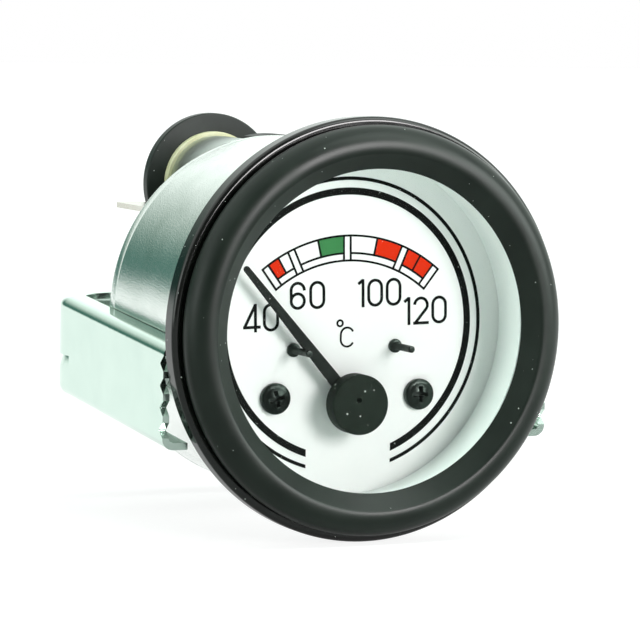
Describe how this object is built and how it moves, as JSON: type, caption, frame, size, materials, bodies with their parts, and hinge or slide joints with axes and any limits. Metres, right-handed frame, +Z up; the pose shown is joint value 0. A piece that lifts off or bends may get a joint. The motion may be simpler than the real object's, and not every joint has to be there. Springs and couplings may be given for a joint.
{
  "type": "temperature gauge",
  "caption": "Round panel-mount temperature gauge with white dial, pointer, black bezel, metal barrel case, U-shaped clamp bracket on threaded studs and a push-in lamp holder.",
  "frame": {"origin": "on the gauge's axis, in the plane of the clamp ring's rear face, which lies on the panel's front face", "axes": "-Y the way the dial faces, +Y into the panel along the barrel, +X to the right and +Z up as the dial is read"},
  "size_m": [0.06, 0.0672, 0.06],
  "materials": {
    "case_zinc": "satin",
    "ring_gloss_black": "gloss",
    "bezel_satin_black": "satin",
    "window_glass": "gloss",
    "seal_rubber": "matte",
    "spacer_white": "satin",
    "dial_white": "matte",
    "ink_black": "matte",
    "ink_red": "matte",
    "ink_green": "matte",
    "screw_black": "satin",
    "nylon_cream": "satin",
    "winding_copper": "satin",
    "bearing_brass": "satin",
    "shield_steel": "satin",
    "board_brown": "satin",
    "resistor_body": "satin",
    "terminal_black": "satin",
    "blade_tin": "satin",
    "rivet_steel": "satin",
    "stud_zinc": "satin",
    "nut_zinc": "satin",
    "pointer_black": "matte",
    "hub_black": "matte",
    "spindle_steel": "gloss",
    "rotor_ferrite": "satin",
    "bracket_zinc": "gloss",
    "washer_steel": "satin",
    "sleeve_grey": "satin",
    "collar_cream": "satin",
    "cap_black": "satin",
    "bulb_metal": "satin",
    "bulb_clear": "gloss"
  },
  "bodies": {
    "case": {"case_can": "case_zinc", "clamp_ring": "ring_gloss_black", "bezel": "bezel_satin_black", "glass": "window_glass", "glass_seal": "seal_rubber", "spacer_ring": "spacer_white", "dial_plate": "dial_white", "dial_print_black": "ink_black", "dial_print_red": "ink_red", "dial_print_green": "ink_green", "dial_screws": "screw_black", "stop_pins": "screw_black", "movement_plate": "nylon_cream", "bobbin_front": "nylon_cream", "bobbin_rear": "nylon_cream", "coil_main": "winding_copper", "coil_cross": "winding_copper", "bearing_front": "bearing_brass", "bearing_rear": "bearing_brass", "magnetic_shield": "shield_steel", "circuit_board": "board_brown", "resistor": "resistor_body", "dial_pillars": "nylon_cream", "terminal_plate": "terminal_black", "terminal_blades": "blade_tin", "earth_blade": "blade_tin", "earth_rivet": "rivet_steel", "bracket_studs": "stud_zinc", "case_nuts": "nut_zinc"},
    "pointer": {"pointer_needle": "pointer_black", "pointer_hub": "hub_black", "pointer_spindle": "spindle_steel", "rotor_magnet": "rotor_ferrite"},
    "bracket": {"u_bracket": "bracket_zinc", "bracket_washers": "washer_steel"},
    "nut_left": {"nut_left": "nut_zinc"},
    "nut_right": {"nut_right": "nut_zinc"},
    "lamp": {"lamp_sleeve": "sleeve_grey", "lamp_collar": "collar_cream", "lamp_cap": "cap_black", "lamp_contact": "bearing_brass", "lamp_blade": "blade_tin", "bulb_base": "bulb_metal", "bulb_glass": "bulb_clear"}
  },
  "joints": [
    {"name": "pointer_sweep", "type": "hinge", "parent": "case", "child": "pointer", "pos_m": [0, 0.0023, -0.01085], "axis": [0, 1, 0], "range_deg": [0, 78.4]},
    {"name": "nut_left_spin", "type": "hinge", "parent": "bracket", "child": "nut_left", "pos_m": [-0.013, 0.0517, -0.00573], "axis": [0, 1, 0], "range_deg": [0, 3085.8]},
    {"name": "nut_right_spin", "type": "hinge", "parent": "bracket", "child": "nut_right", "pos_m": [0.013, 0.0517, -0.00573], "axis": [0, 1, 0], "range_deg": [0, 3085.8]},
    {"name": "bracket_slide", "type": "slide", "parent": "case", "child": "bracket", "axis": [0, 1, 0], "range_m": [0, 0.006]},
    {"name": "lamp_pull", "type": "slide", "parent": "case", "child": "lamp", "axis": [0, 1, 0], "range_m": [0, 0.018]}
  ],
  "couplings": [
    {"joint": "nut_left_spin", "follows": "bracket_slide", "rad_per_m": 8976},
    {"joint": "nut_right_spin", "follows": "bracket_slide", "rad_per_m": 8976}
  ]
}
